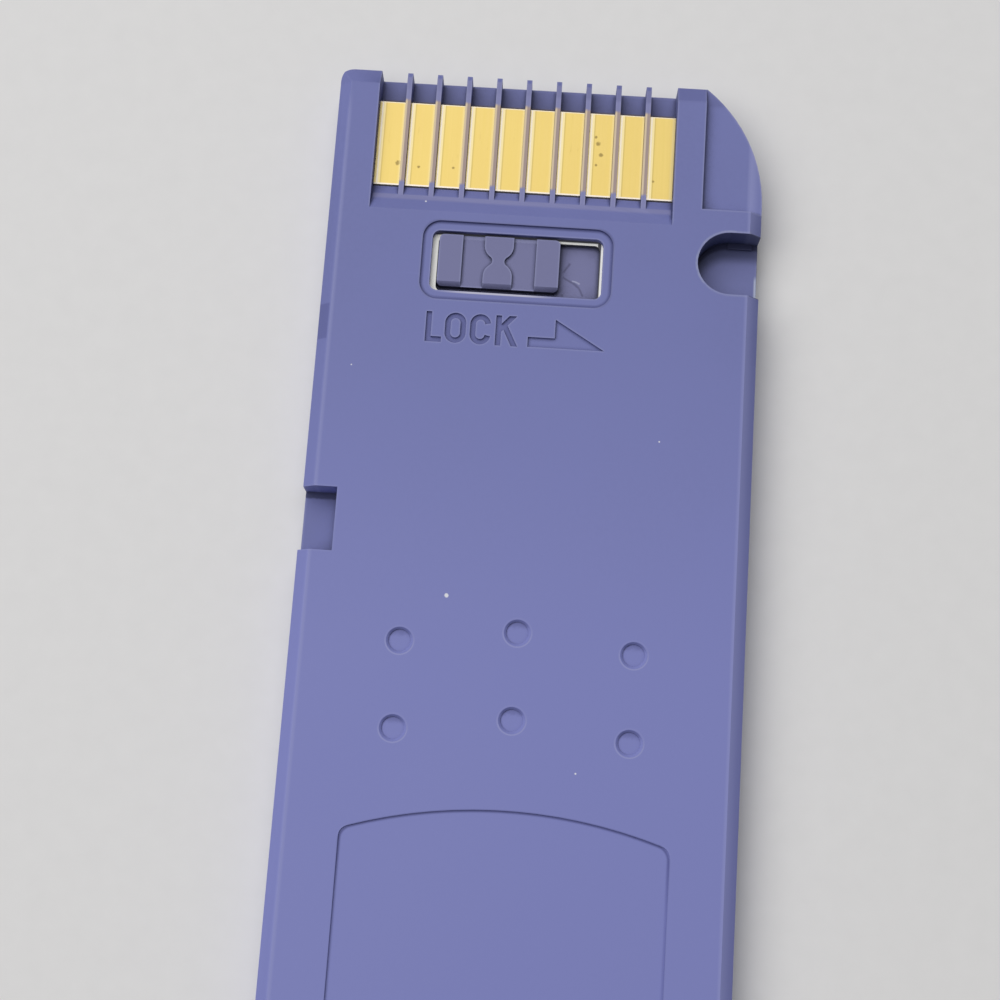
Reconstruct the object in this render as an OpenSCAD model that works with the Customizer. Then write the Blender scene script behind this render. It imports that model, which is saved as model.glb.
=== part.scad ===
// Removable flash memory card, ten contacts, with a write-protect slide.
// The card lies on its label face. +Z points out of the contact face, +Y to the contact end.
// The origin is under the middle of the card, on the surface that it lies on.

/* [Case] */
// Width over the two long sides
card_w = 21.5; // [20.6:0.1:24]
// Length from the thumb end to the contact end
card_l = 50; // [48:0.5:58]
// Thickness of the closed case
card_t = 2.8; // [2.7:0.05:3.4]
// Height of the joint line between the two half shells
split_z = 1.2; // [1.1:0.05:1.35]
// Thickness of the label-side wall
floor_t = 0.5; // [0.4:0.05:0.55]
// Thickness of the contact-side wall
skin_t = 0.45; // [0.4:0.05:0.55]
// Width of the rim of the label-side shell
rim_w = 1; // [0.8:0.1:1.2]
// Width of the lip of the contact-side shell that stands inside the rim
lip_w = 0.5; // [0.4:0.05:0.8]
// Clearance of a piece in the pocket that locates it
fit = 0.05; // [0.02:0.01:0.08]
// Height and depth of the groove at the joint line
seam_w = 0.05; // [0.03:0.01:0.08]
// Radius of the corner beside the first contact
front_r = 0.7; // [0.4:0.1:1.4]
// Radius of the two corners at the thumb end
thumb_r = 0.9; // [0.4:0.1:2]
// Radius of the large corner that keys the card
key_r = 7.8; // [7:0.1:9]
// Distance from the contact end to the centre of the large corner
key_in = 6.1; // [5.5:0.1:6.4]

/* [Edge bevels] */
// Width of the bevel along the long sides and the thumb end
bevel_w = 0.6; // [0.3:0.05:0.8]
// Depth of the bevels on the contact face
bevel_h = 0.5; // [0.3:0.05:0.55]
// Width of the bevel at the contact end
nose_w = 0.9; // [0.5:0.05:1.2]
// Size of the bevel round the label face
base_bevel = 0.3; // [0.1:0.05:0.35]

/* [Contact bay] */
// Distance of the middle of the contact row from the card's middle line
bay_off = 1.2; // [1:0.05:1.4]
// Spacing of the contacts
pitch = 1.515; // [1.42:0.005:1.53]
// Amount that each outer cell is narrower than the others
end_trim = 0.07; // [0:0.01:0.2]
// Width of a rib between two contacts
rib_w = 0.26; // [0.2:0.02:0.36]
// Depth of the rib tops below the contact face
rib_drop = 0.48; // [0.4:0.02:0.56]
// Length of the bevel on the tip of a rib
rib_tip = 0.3; // [0.1:0.05:0.4]
// Depth of that bevel
rib_nose = 0.12; // [0.05:0.01:0.25]
// Width of the shelf along the contact end
shelf_w = 1.15; // [0.9:0.05:1.3]
// Bevel on the front edge of the shelf
shelf_bevel = 0.12; // [0.06:0.02:0.2]
// Distance from the contact end to the wall behind the contacts
wall_in = 6.1; // [5.8:0.1:6.2]
// Run of the ramp that leads a finger down to the contacts
ramp_l = 1.45; // [1:0.05:1.7]

/* [Contacts] */
// Depth of the contacts below the contact face of the case
contact_drop = 0.78; // [0.7:0.02:0.9]
// Height of the foot of the ramp above the contacts
ramp_step = 0.03; // [0:0.01:0.1]
// Thickness of the bent strip that a contact is made of
plate_t = 0.15; // [0.1:0.01:0.2]
// Bevel along the two long edges of a contact
plate_bevel = 0.06; // [0.03:0.01:0.1]
// Length of the slope at the forward end of a contact
contact_nose = 0.28; // [0.2:0.02:0.5]
// Length of a contact's foot on the board
foot_l = 0.6; // [0.4:0.05:0.9]
// Gap between a contact and the ribs beside it
plate_gap = 0.015; // [0.01:0.005:0.05]

/* [Locating corner] */
// Distance from the long side to the step of the lowered corner
step_in = 3; // [2.6:0.1:3.2]
// Length of the lowered corner from the contact end
step_l = 6.6; // [5.4:0.1:6.9]

/* [Side notches] */
// Radius of the round latch notch
latch_r = 1.6; // [1.3:0.05:1.7]
// Distance from the long side to the centre of the round notch
latch_in = 1.5; // [1.2:0.05:1.7]
// Distance from the contact end to the centre of the round notch
latch_y_in = 9.35; // [9.2:0.05:9.8]
// Wall left round a notch
notch_wall = 0.45; // [0.35:0.05:0.6]
// Width of the small ledge on the forward wall of the round notch
ledge_w = 0.3; // [0.2:0.05:0.5]
// Height of that ledge
ledge_h = 0.1; // [0.05:0.05:0.3]
// Depth of the square notch into the other long side
square_w = 1.7; // [1.4:0.1:1.9]
// Length of the square notch
square_l = 3.1; // [2.5:0.1:3.6]
// Distance from the contact end to the square notch
square_in = 21.8; // [21:0.1:23]

/* [Switch window] */
// Distance of the middle of the switch window from the card's middle line
window_off = 1.225; // [1:0.025:1.5]
// Length of the window
window_l = 8.45; // [8.2:0.05:8.8]
// Width of the window
window_w = 3.1; // [2.9:0.02:3.3]
// Distance from the contact end to the window
window_y_in = 8.5; // [8.4:0.05:8.8]
// Corner radius of the window
window_r = 0.38; // [0.2:0.02:0.5]
// Width of the shallow border round the window
border_w = 0.48; // [0.3:0.02:0.5]
// Depth of the shallow border
border_h = 0.1; // [0.05:0.01:0.15]
// Corner radius of the border
border_r = 0.9; // [0.6:0.05:1.1]

/* [Lock switch] */
// Thickness of the white liner under the window
liner_t = 0.3; // [0.2:0.02:0.34]
// Width of the liner seen at the open end of the window
liner_show_l = 0.3; // [0.2:0.02:0.4]
// Width of the liner seen at the lock end of the window
liner_show_r = 0.16; // [0.08:0.02:0.2]
// Width of the liner seen along the forward side of the window
liner_show_f = 0.22; // [0.14:0.02:0.36]
// Width of the liner seen along the rear side of the window
liner_show_b = 0.08; // [0.04:0.02:0.12]
// Clearance round the sliding plate
run_gap = 0.02; // [0.01:0.01:0.04]
// Clearance at the ends of the grip in the liner
end_gap = 0.04; // [0.02:0.01:0.08]
// Clearance behind the grip, on its rear side
grip_gap = 0.24; // [0.1:0.02:0.3]
// Travel of the slider from open to lock
travel = 1.8; // [1.4:0.1:1.9]
// Length of the grip along its travel
grip_l = 5.98; // [5.6:0.02:6]
// Height of the grip bars above the sliding plate
grip_h = 0.52; // [0.4:0.02:0.54]
// Depth of the finger hollows between the grip bars
hollow_h = 0.14; // [0.08:0.01:0.16]
// Width of the two outer grip bars
bar_w = 1.17; // [0.9:0.01:1.3]
// Half the width of the waisted middle bar
lobe_r = 0.72; // [0.68:0.01:0.8]
// Half the width of its waist
waist_hw = 0.3; // [0.25:0.01:0.5]
// Radius of the two hollows at its waist
waist_r = 0.25; // [0.15:0.01:0.3]
// Distance from the window's forward side to the waist
waist_in = 1.38; // [1.3:0.02:1.6]
// Distance from the middle bar's axis to the grip's open end
lobe_in = 2.97; // [2.7:0.01:3.2]
// Run of the slope on the rear ends of the grip bars
bar_slope = 0.22; // [0.14:0.02:0.4]
// Thickness of the sliding plate
slide_t = 0.3; // [0.2:0.02:0.36]
// Length of the sliding plate that stays under the case wall past the window
slide_over = 0.3; // [0.15:0.05:0.4]
// Width of the sliding plate under the case wall on each side
slide_wing = 0.42; // [0.2:0.02:0.44]
// Wall of the tray that the plate slides in
tray_wall = 0.45; // [0.3:0.05:0.5]
// Width of the ledge that carries the plate
tray_ledge = 0.5; // [0.3:0.05:0.6]
// Thickness of the spring wiper under the plate
wiper_t = 0.12; // [0.08:0.01:0.16]
// Length of the spring wiper
wiper_l = 3; // [2.6:0.1:3.2]
// Width of the spring wiper
wiper_w = 1.6; // [1.2:0.1:1.8]

/* [Rear face] */
// Half the width of the label field
field_hw = 7.6; // [6.5:0.1:8]
// Distance from the contact end to the top of the label field
field_in = 36.5; // [35:0.5:37.5]
// Rise of the arched top of the label field
field_rise = 1.25; // [0.8:0.05:2]
// Distance from the thumb end to the label field
field_end = 1.5; // [1.2:0.1:3]
// Depth of the label field
field_h = 0.1; // [0.05:0.01:0.15]
// Corner radius of the label field
field_r = 0.5; // [0.3:0.05:0.8]
// Radius of a grip dimple
dimple_r = 0.63; // [0.4:0.01:0.8]
// Radius of its flat floor
dimple_floor = 0.42; // [0.1:0.01:0.5]
// Depth of a grip dimple
dimple_h = 0.13; // [0.08:0.01:0.2]
// Distance between the dimples across the card
dimple_x = 5.5; // [4:0.1:6]
// Distance between the two rows of dimples
dimple_y = 4.1; // [3:0.1:4.4]
// Amount that the middle dimple of a row stands ahead
dimple_lead = 0.7; // [0:0.1:1]
// Distance from the contact end to the first row of dimples
dimple_in = 28.95; // [28.4:0.05:29.5]

/* [Label side] */
// Half the width of the sticker field
sticker_hw = 8.6; // [7:0.1:9]
// Depth of the sticker field
sticker_h = 0.1; // [0.05:0.01:0.15]
// Distance from the contact end to the sticker field
sticker_in = 12; // [10:0.5:14]
// Distance from the thumb end to the sticker field
sticker_end = 3; // [2:0.1:5]
// Corner radius of the sticker field
sticker_r = 0.8; // [0.4:0.1:1.5]
// Width of the triangle that shows which end goes in
mark_w = 3.2; // [2:0.1:5]
// Depth of that triangle
mark_h = 0.15; // [0.1:0.01:0.2]

/* [Circuit] */
// Thickness of the circuit board
board_t = 0.3; // [0.2:0.02:0.35]
// Length of the memory chip's body along the card
chip_l = 18.4; // [16:0.1:19]
// Width of the memory chip's body
chip_w = 12; // [10:0.1:13]
// Thickness of the memory chip's body
chip_t = 0.95; // [0.8:0.01:1]
// Distance from the thumb end to the memory chip's body
chip_end = 4.6; // [4:0.1:5]
// Side of the square controller chip
ctrl_w = 7; // [5:0.1:8]
// Thickness of the controller chip
ctrl_t = 0.9; // [0.7:0.01:1]
// Gap between the controller chip's body and the switch tray
ctrl_gap = 1.4; // [1.2:0.1:1.6]
// Height of the chip bodies above the board
standoff = 0.06; // [0.03:0.01:0.1]
// Thickness of the chips' leads
lead_t = 0.12; // [0.08:0.01:0.16]
// Reach of the leads past the chip bodies
lead_l = 0.8; // [0.6:0.05:0.95]
// Width of a lead
lead_w = 0.22; // [0.16:0.01:0.28]
// Spacing of the leads
lead_pitch = 0.5; // [0.4:0.05:0.6]
// Length of a small two-ended part on the board
chiplet_l = 1.6; // [1.2:0.1:2]
// Thickness of the capacitors
cap_t = 0.8; // [0.5:0.05:1]
// Thickness of the resistors
res_t = 0.45; // [0.3:0.05:0.6]
// Length of the resonator
xtal_l = 3.2; // [2.5:0.1:4]

/* [Hidden] */

$fn = 48;
cells = 10;
far = 2;
front_y = card_l / 2;
side_x = card_w / 2;
board_top = floor_t + board_t;
contact_z = card_t - contact_drop;
ramp_z = contact_z + ramp_step;
ceiling = card_t - skin_t;
bevel_z = card_t - bevel_h;
shelf_y = front_y - shelf_w;
wall_y = front_y - wall_in;
ramp_y = wall_y - ramp_l;
rib_z = card_t - rib_drop;
bay_x0 = end_trim - bay_off - cells * pitch / 2;
bay_x1 = cells * pitch / 2 - bay_off - end_trim;
key_x = side_x - key_r;
key_y = front_y - key_in;
latch_x = side_x - latch_in;
latch_y = front_y - latch_y_in;
square_y1 = front_y - square_in;
square_y0 = square_y1 - square_l;
inner_wall = rim_w + fit + lip_w;

window_x0 = -window_off - window_l / 2;
window_x1 = window_x0 + window_l;
window_y1 = front_y - window_y_in;
window_y0 = window_y1 - window_w;
open_x0 = window_x0 + liner_show_l;
open_x1 = window_x1 - liner_show_r;
open_y0 = window_y0 + liner_show_b;
open_y1 = window_y1 - liner_show_f;
liner_z = ceiling - liner_t;
slide_top = liner_z - run_gap;
slide_z = slide_top - slide_t;
grip_top = slide_top + grip_h;
grip_x0 = open_x0 + end_gap;
grip_x1 = grip_x0 + grip_l;
slide_x0 = window_x0 - slide_over - travel;
slide_x1 = window_x1 + slide_over;
slide_y0 = window_y0 - slide_wing;
slide_y1 = window_y1 + slide_wing;
tray_x0 = slide_x0 - end_gap;
tray_x1 = slide_x1 + travel + end_gap;
tray_y0 = slide_y0 - run_gap;
tray_y1 = slide_y1 + run_gap;
pad_z = 0.05;
wiper_z = board_top + pad_z + run_gap;

chip_y = chip_end - front_y;
ctrl_x = -3.4;
ctrl_y = tray_y0 - tray_wall - ctrl_gap - ctrl_w / 2;

// Shapes that several pieces share

// A square corner less a round one, at the corner (x, y) that points along (sx, sy)
module corner_off(x, y, sx, sy, r) {
  difference() {
    translate([sx > 0 ? x - r : x - far, sy > 0 ? y - r : y - far])
      square([r + far, r + far]);
    translate([x - sx * r, y - sy * r])
      circle(r = r);
  }
}

// A rectangle with four round corners
module round_box(x0, x1, y0, y1, r) {
  difference() {
    translate([x0, y0])
      square([x1 - x0, y1 - y0]);
    corner_off(x0, y0, -1, -1, r);
    corner_off(x1, y0, 1, -1, r);
    corner_off(x0, y1, -1, 1, r);
    corner_off(x1, y1, 1, 1, r);
  }
}

// The outline of the card, drawn in by d
module outline(d) {
  difference() {
    translate([d - side_x, d - front_y])
      square([card_w - 2 * d, card_l - 2 * d]);
    corner_off(d - side_x, d - front_y, -1, -1, max(thumb_r - d, 0.05));
    corner_off(side_x - d, d - front_y, 1, -1, max(thumb_r - d, 0.05));
    corner_off(d - side_x, front_y - d, -1, 1, max(front_r - d, 0.05));
    difference() {
      translate([key_x, key_y])
        square([key_r + far, key_r + far]);
      translate([key_x, key_y])
        circle(r = key_r - d, $fn = 160);
    }
  }
}

// The round notch, grown by g
module latch_notch(g) {
  translate([latch_x, latch_y])
    circle(r = latch_r + g, $fn = 64);
  translate([latch_x, latch_y - latch_r - g])
    square([latch_in + far, 2 * (latch_r + g)]);
}

// The square notch, grown by g
module square_notch(g) {
  translate([-side_x - far, square_y0 - g])
    square([square_w + far + g, square_l + 2 * g]);
}

// Everything behind the shelf, drawn in by d, clear of the notches by g
module inside(d, y_max, g) {
  difference() {
    intersection() {
      outline(d);
      translate([-card_w, -card_l])
        square([2 * card_w, card_l + y_max]);
    }
    latch_notch(g);
    square_notch(g);
  }
}

module slab(z0, z1) {
  translate([0, 0, z0])
    linear_extrude(height = z1 - z0)
      children();
}

// A YZ profile carried from x0 to x1
module across(x0, x1) {
  translate([x0, 0, 0])
    rotate([90, 0, 90])
      linear_extrude(height = x1 - x0)
        children();
}

// An XZ profile carried from y0 to y1
module along(y0, y1) {
  translate([0, y1, 0])
    rotate([90, 0, 0])
      linear_extrude(height = y1 - y0)
        children();
}

function rib_x(i) = bay_x0 - end_trim + i * pitch;

// Label-side shell: a tray with a rim, a shelf for the ribs and a floor under each notch
module front_cover() {
  color([0.45, 0.46, 0.66])
    difference() {
      slab(0, split_z)
        outline(0);
      slab(floor_t, split_z + far)
        inside(rim_w, shelf_y, notch_wall);
      base_bevels();
      shelf_front();
      slab(-far, sticker_h)
        round_box(-sticker_hw, sticker_hw, sticker_end - front_y, front_y - sticker_in, sticker_r);
      slab(-far, mark_h)
        insertion_mark();
    }
  color([0.45, 0.46, 0.66])
    latch_ledge();
}

module base_bevels() {
  for (s = [-1, 1])
    along(-card_l, card_l)
      polygon([
        [s * (side_x - base_bevel), 0],
        [s * (side_x - base_bevel), -far],
        [s * (side_x + far), -far],
        [s * (side_x + far), base_bevel],
        [s * side_x, base_bevel]
      ]);
  for (s = [-1, 1])
    across(-card_w, card_w)
      polygon([
        [s * (front_y - base_bevel), 0],
        [s * (front_y - base_bevel), -far],
        [s * (front_y + far), -far],
        [s * (front_y + far), base_bevel],
        [s * front_y, base_bevel]
      ]);
}

module shelf_front() {
  across(bay_x0, bay_x1)
    polygon([
      [front_y - shelf_bevel, split_z],
      [front_y, split_z - shelf_bevel],
      [front_y + far, split_z - shelf_bevel],
      [front_y + far, split_z + far],
      [front_y - shelf_bevel, split_z + far]
    ]);
}

module insertion_mark() {
  translate([0, front_y - sticker_in / 2])
    polygon([[-mark_w / 2, -mark_w / 3], [mark_w / 2, -mark_w / 3], [0, mark_w / 2]]);
}

module latch_ledge() {
  slab(split_z, split_z + ledge_h)
    translate([latch_x, latch_y + latch_r - ledge_w])
      square([latch_in - bevel_w / 2, ledge_w]);
}

// Contact-side shell: broad wall, rim, lip, contact bay, notches, window and hollows
module rear_cover() {
  color([0.47, 0.48, 0.68]) {
    difference() {
      union() {
        slab(split_z + seam_w, card_t)
          outline(0);
        slab(split_z, split_z + seam_w)
          outline(seam_w);
        slab(board_top, split_z)
          inside(rim_w + fit, shelf_y - fit, notch_wall + fit);
      }
      slab(board_top - far, ceiling)
        inside(inner_wall, ramp_y, notch_wall);
      top_bevels();
      lowered_corner();
      bay();
      slab(split_z - far, card_t + far) {
        latch_notch(0);
        square_notch(0);
      }
      slab(ceiling - far, card_t + far)
        round_box(window_x0, window_x1, window_y0, window_y1, window_r);
      slab(card_t - border_h, card_t + far)
        round_box(window_x0 - border_w, window_x1 + border_w,
                  window_y0 - border_w, window_y1 + border_w, border_r);
      slab(card_t - field_h, card_t + far)
        label_field();
      dimples();
    }
    ribs();
  }
}

module top_bevels() {
  for (s = [-1, 1])
    along(-card_l, card_l)
      polygon([
        [s * (side_x - bevel_w), card_t],
        [s * side_x, bevel_z],
        [s * (side_x + far), bevel_z],
        [s * (side_x + far), card_t + far],
        [s * (side_x - bevel_w), card_t + far]
      ]);
  across(-card_w, card_w)
    polygon([
      [bevel_w - front_y, card_t],
      [-front_y, bevel_z],
      [-front_y - far, bevel_z],
      [-front_y - far, card_t + far],
      [bevel_w - front_y, card_t + far]
    ]);
  across(-card_w, card_w)
    polygon([
      [front_y - nose_w, card_t],
      [front_y, bevel_z],
      [front_y + far, bevel_z],
      [front_y + far, card_t + far],
      [front_y - nose_w, card_t + far]
    ]);
}

module lowered_corner() {
  translate([side_x - step_in, front_y - step_l, bevel_z])
    cube([step_in + far, step_l + far, bevel_h + far]);
}

// The open cells over the contacts and the ramp behind them
module bay() {
  across(bay_x0, bay_x1)
    polygon([
      [ramp_y, card_t + far],
      [ramp_y, card_t],
      [wall_y, ramp_z],
      [wall_y, board_top - far],
      [front_y + far, board_top - far],
      [front_y + far, card_t + far]
    ]);
}

module ribs() {
  for (i = [1 : cells - 1])
    across(rib_x(i) - rib_w / 2, rib_x(i) + rib_w / 2)
      polygon([
        [wall_y - ramp_l / 2, ramp_z - ramp_step],
        [wall_y - ramp_l / 2, rib_z],
        [front_y - rib_tip, rib_z],
        [front_y, rib_z - rib_nose],
        [front_y, split_z],
        [shelf_y - fit, split_z],
        [shelf_y - fit, board_top],
        [wall_y, board_top],
        [wall_y, ramp_z - ramp_step]
      ]);
}

// Arched at the top, with round corners tangent to the arch and to the sides
module label_field() {
  top_y = front_y - field_in;
  arch_r = (field_hw * field_hw + field_rise * field_rise) / (2 * field_rise);
  arch_y = top_y - arch_r;
  cx = field_hw - field_r;
  cy = arch_y + sqrt(pow(arch_r - field_r, 2) - cx * cx);
  reach = 1.2 * arch_r / (arch_r - field_r);
  difference() {
    intersection() {
      translate([0, arch_y])
        circle(r = arch_r, $fn = 160);
      translate([-field_hw, field_end - front_y])
        square([2 * field_hw, top_y - field_end + front_y]);
    }
    corner_off(-field_hw, field_end - front_y, -1, -1, field_r);
    corner_off(field_hw, field_end - front_y, 1, -1, field_r);
    for (s = [-1, 1])
      difference() {
        polygon([
          [s * cx, cy],
          [s * cx * reach, arch_y + (cy - arch_y) * reach],
          [s * (field_hw + far), arch_y + (cy - arch_y) * reach],
          [s * (field_hw + far), cy]
        ]);
        translate([s * cx, cy])
          circle(r = field_r);
      }
  }
}

module dimples() {
  for (row = [0, 1], side = [-1, 0, 1])
    translate([
      side * dimple_x,
      front_y - dimple_in - row * dimple_y + (side == 0 ? dimple_lead : 0),
      card_t - dimple_h
    ])
      cylinder(h = 2 * dimple_h, r1 = dimple_floor, r2 = 2 * dimple_r - dimple_floor, $fn = 64);
}

// Circuit board, cut back round both notches
module circuit_board() {
  color([0.16, 0.36, 0.24])
    slab(floor_t, board_top)
      inside(rim_w + fit, shelf_y - fit, notch_wall + fit);
}

// Contacts: gold-plated strips, bent down at both ends to a foot on the board
module contact(i) {
  x0 = i == 0 ? bay_x0 + plate_gap : rib_x(i) + rib_w / 2 + plate_gap;
  x1 = i == cells - 1 ? bay_x1 - plate_gap : rib_x(i + 1) - rib_w / 2 - plate_gap;
  y0 = wall_y + fit;
  y1 = shelf_y - 2 * fit;
  top = contact_z - plate_t;
  color([0.93, 0.80, 0.42])
    intersection() {
      across(x0, x1)
        polygon([
          [y0, board_top],
          [y0, contact_z - plate_bevel],
          [y0 + plate_bevel, contact_z],
          [y1 - contact_nose, contact_z],
          [y1, split_z],
          [y1, board_top],
          [y1 - foot_l, board_top],
          [y1 - foot_l, board_top + plate_t],
          [y1 - plate_t, board_top + plate_t],
          [y1 - plate_t, split_z],
          [y1 - contact_nose - plate_t / 2, top],
          [y0 + plate_t, top],
          [y0 + plate_t, board_top + plate_t],
          [y0 + foot_l, board_top + plate_t],
          [y0 + foot_l, board_top]
        ]);
      along(y0 - far, y1 + far)
        polygon([
          [x0, board_top - far],
          [x1, board_top - far],
          [x1, contact_z - plate_bevel],
          [x1 - plate_bevel, contact_z],
          [x0 + plate_bevel, contact_z],
          [x0, contact_z - plate_bevel]
        ]);
    }
}

module contact_01() { contact(0); }
module contact_02() { contact(1); }
module contact_03() { contact(2); }
module contact_04() { contact(3); }
module contact_05() { contact(4); }
module contact_06() { contact(5); }
module contact_07() { contact(6); }
module contact_08() { contact(7); }
module contact_09() { contact(8); }
module contact_10() { contact(9); }

// White liner: a thin frame under the window that keeps the sliding plate in
module switch_liner() {
  color([0.93, 0.93, 0.91])
    difference() {
      slab(liner_z, ceiling)
        translate([tray_x0 - tray_wall, tray_y0 - tray_wall])
          square([tray_x1 - tray_x0 + 2 * tray_wall, tray_y1 - tray_y0 + 2 * tray_wall]);
      slab(liner_z - far, ceiling + far)
        round_box(open_x0, open_x1, open_y0, open_y1, window_r - 0.1);
    }
}

// Tray: holds the sliding plate from below and at its sides, open under the wiper
module switch_tray() {
  color([0.9, 0.9, 0.88])
    difference() {
      slab(board_top, liner_z)
        translate([tray_x0 - tray_wall, tray_y0 - tray_wall])
          square([tray_x1 - tray_x0 + 2 * tray_wall, tray_y1 - tray_y0 + 2 * tray_wall]);
      slab(slide_z - run_gap, liner_z + far)
        translate([tray_x0, tray_y0])
          square([tray_x1 - tray_x0, tray_y1 - tray_y0]);
      slab(board_top - far, slide_z)
        translate([tray_x0 + tray_ledge, tray_y0 + tray_ledge])
          square([tray_x1 - tray_x0 - 2 * tray_ledge, tray_y1 - tray_y0 - 2 * tray_ledge]);
    }
}

// Slider: a thin plate under the case wall with a ribbed grip that stands in the window
module lock_slider() {
  color([0.44, 0.45, 0.58]) {
    slab(slide_z, slide_top)
      translate([slide_x0, slide_y0])
        square([slide_x1 - slide_x0, slide_y1 - slide_y0]);
    grip();
  }
}

module grip() {
  neck_z = ceiling + run_gap;
  base_z = grip_top - hollow_h;
  grip_y0 = open_y0 + grip_gap;
  grip_y1 = window_y1 - 3 * end_gap;
  slab(slide_z, neck_z)
    round_box(grip_x0, grip_x1, grip_y0, open_y1 - end_gap, window_r - 0.14);
  difference() {
    slab(neck_z - run_gap / 2, grip_top)
      round_box(grip_x0, grip_x1, grip_y0, grip_y1, window_r - 0.14);
    slab(base_z, grip_top + far)
      difference() {
        translate([grip_x0 + bar_w, grip_y0 - far])
          square([grip_l - 2 * bar_w, grip_y1 - grip_y0 + 2 * far]);
        waisted_bar(grip_x0 + lobe_in, window_y1 - waist_in);
      }
    across(grip_x0 - far, grip_x1 + far)
      polygon([
        [grip_y0 - far, base_z],
        [grip_y0, base_z],
        [grip_y0 + bar_slope, grip_top],
        [grip_y0 + bar_slope, grip_top + far],
        [grip_y0 - far, grip_top + far]
      ]);
  }
}

// The outline runs down one side, round two lobes with a hollow between them, and up the other
module waisted_bar(x, y) {
  rise = sqrt(pow(lobe_r + waist_r, 2) - pow(waist_hw + waist_r, 2));
  turn = atan2(rise, waist_hw + waist_r);
  side = concat(
    [[lobe_r, far]],
    [for (k = [0 : 8]) let (a = -turn * k / 8) [lobe_r * cos(a), rise + lobe_r * sin(a)]],
    [for (k = [1 : 5]) let (a = 180 - turn + turn * k / 3)
      [waist_hw + waist_r + waist_r * cos(a), waist_r * sin(a)]],
    [for (k = [0 : 8]) let (a = turn - turn * k / 8) [lobe_r * cos(a), lobe_r * sin(a) - rise]],
    [[lobe_r, -far]]
  );
  translate([x, y])
    polygon(concat(side, [for (k = [len(side) - 1 : -1 : 0]) [-side[k][0], side[k][1]]]));
}

// Wiper: a bent metal strip under the plate that brushes the board
module lock_wiper() {
  x0 = grip_x0 + 0.6;
  x1 = x0 + wiper_l;
  y0 = (slide_y0 + slide_y1 - wiper_w) / 2;
  drop = slide_z - wiper_z;
  color([0.78, 0.74, 0.62])
    along(y0, y0 + wiper_w)
      polygon([
        [x0, slide_z],
        [x0, slide_z - wiper_t],
        [x0 + wiper_l * 0.3, slide_z - wiper_t],
        [x0 + wiper_l * 0.3 + drop, wiper_z],
        [x1 - wiper_t, wiper_z],
        [x1, wiper_z + 2 * wiper_t],
        [x1 - wiper_t, wiper_z + 2 * wiper_t],
        [x1 - 1.5 * wiper_t, wiper_z + wiper_t],
        [x0 + wiper_l * 0.3 + drop + wiper_t * 0.4, wiper_z + wiper_t],
        [x0 + wiper_l * 0.3 + wiper_t * 0.4, slide_z]
      ]);
}

// Small gold pads that the wiper joins
module switch_pad(x, l) {
  y0 = (slide_y0 + slide_y1) / 2 - wiper_w / 3;
  color([0.93, 0.80, 0.42])
    slab(board_top, board_top + pad_z)
      translate([x, y0])
        square([l, wiper_w * 2 / 3]);
}

module switch_pad_common() { switch_pad(grip_x0 + wiper_l * 0.75, 0.5); }
module switch_pad_open() { switch_pad(grip_x0 + wiper_l * 0.75 + 0.7, 0.5); }
module switch_pad_lock() { switch_pad(grip_x0 + wiper_l * 0.75 + 1.4, 0.9); }

// Chips: moulded bodies with a flat lead frame through the middle
module chip_body(x, y, w, l, t) {
  z0 = board_top + standoff;
  zm = z0 + t / 2;
  color([0.11, 0.11, 0.12])
    difference() {
      slab(z0, z0 + t)
        translate([x - w / 2, y])
          square([w, l]);
      slab(zm, zm + lead_t)
        translate([x - w / 2 + 0.6, y - far])
          square([w - 1.2, l + 2 * far]);
    }
}

module lead_frame(x, y, w, l, t) {
  z0 = board_top + standoff;
  zm = z0 + t / 2;
  count = floor((w - 1.4) / lead_pitch);
  color([0.75, 0.76, 0.78]) {
    slab(zm, zm + lead_t)
      translate([x - w / 2 + 0.6, y])
        square([w - 1.2, l]);
    for (s = [-1, 1], i = [0 : count - 1])
      translate([x + (i - (count - 1) / 2) * lead_pitch - lead_w / 2, s > 0 ? y + l : y, 0])
        across(0, lead_w)
          polygon([
            [0, zm],
            [0, zm + lead_t],
            [s * lead_l * 0.4, zm + lead_t],
            [s * (lead_l * 0.4 + lead_t), board_top + lead_t],
            [s * lead_l, board_top + lead_t],
            [s * lead_l, board_top],
            [s * lead_l * 0.4, board_top],
            [s * (lead_l * 0.4 - lead_t), zm]
          ]);
  }
}

module memory_chip() { chip_body(0, chip_y, chip_w, chip_l, chip_t); }
module memory_leads() { lead_frame(0, chip_y, chip_w, chip_l, chip_t); }
module controller_chip() { chip_body(ctrl_x, ctrl_y - ctrl_w / 2, ctrl_w, ctrl_w, ctrl_t); }
module controller_leads() { lead_frame(ctrl_x, ctrl_y - ctrl_w / 2, ctrl_w, ctrl_w, ctrl_t); }

// Small two-ended parts beside the controller chip
module chiplet(x, y, w, t) {
  slab(board_top, board_top + t)
    translate([x - w / 2, y - chiplet_l / 2])
      square([w, chiplet_l]);
}

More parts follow.
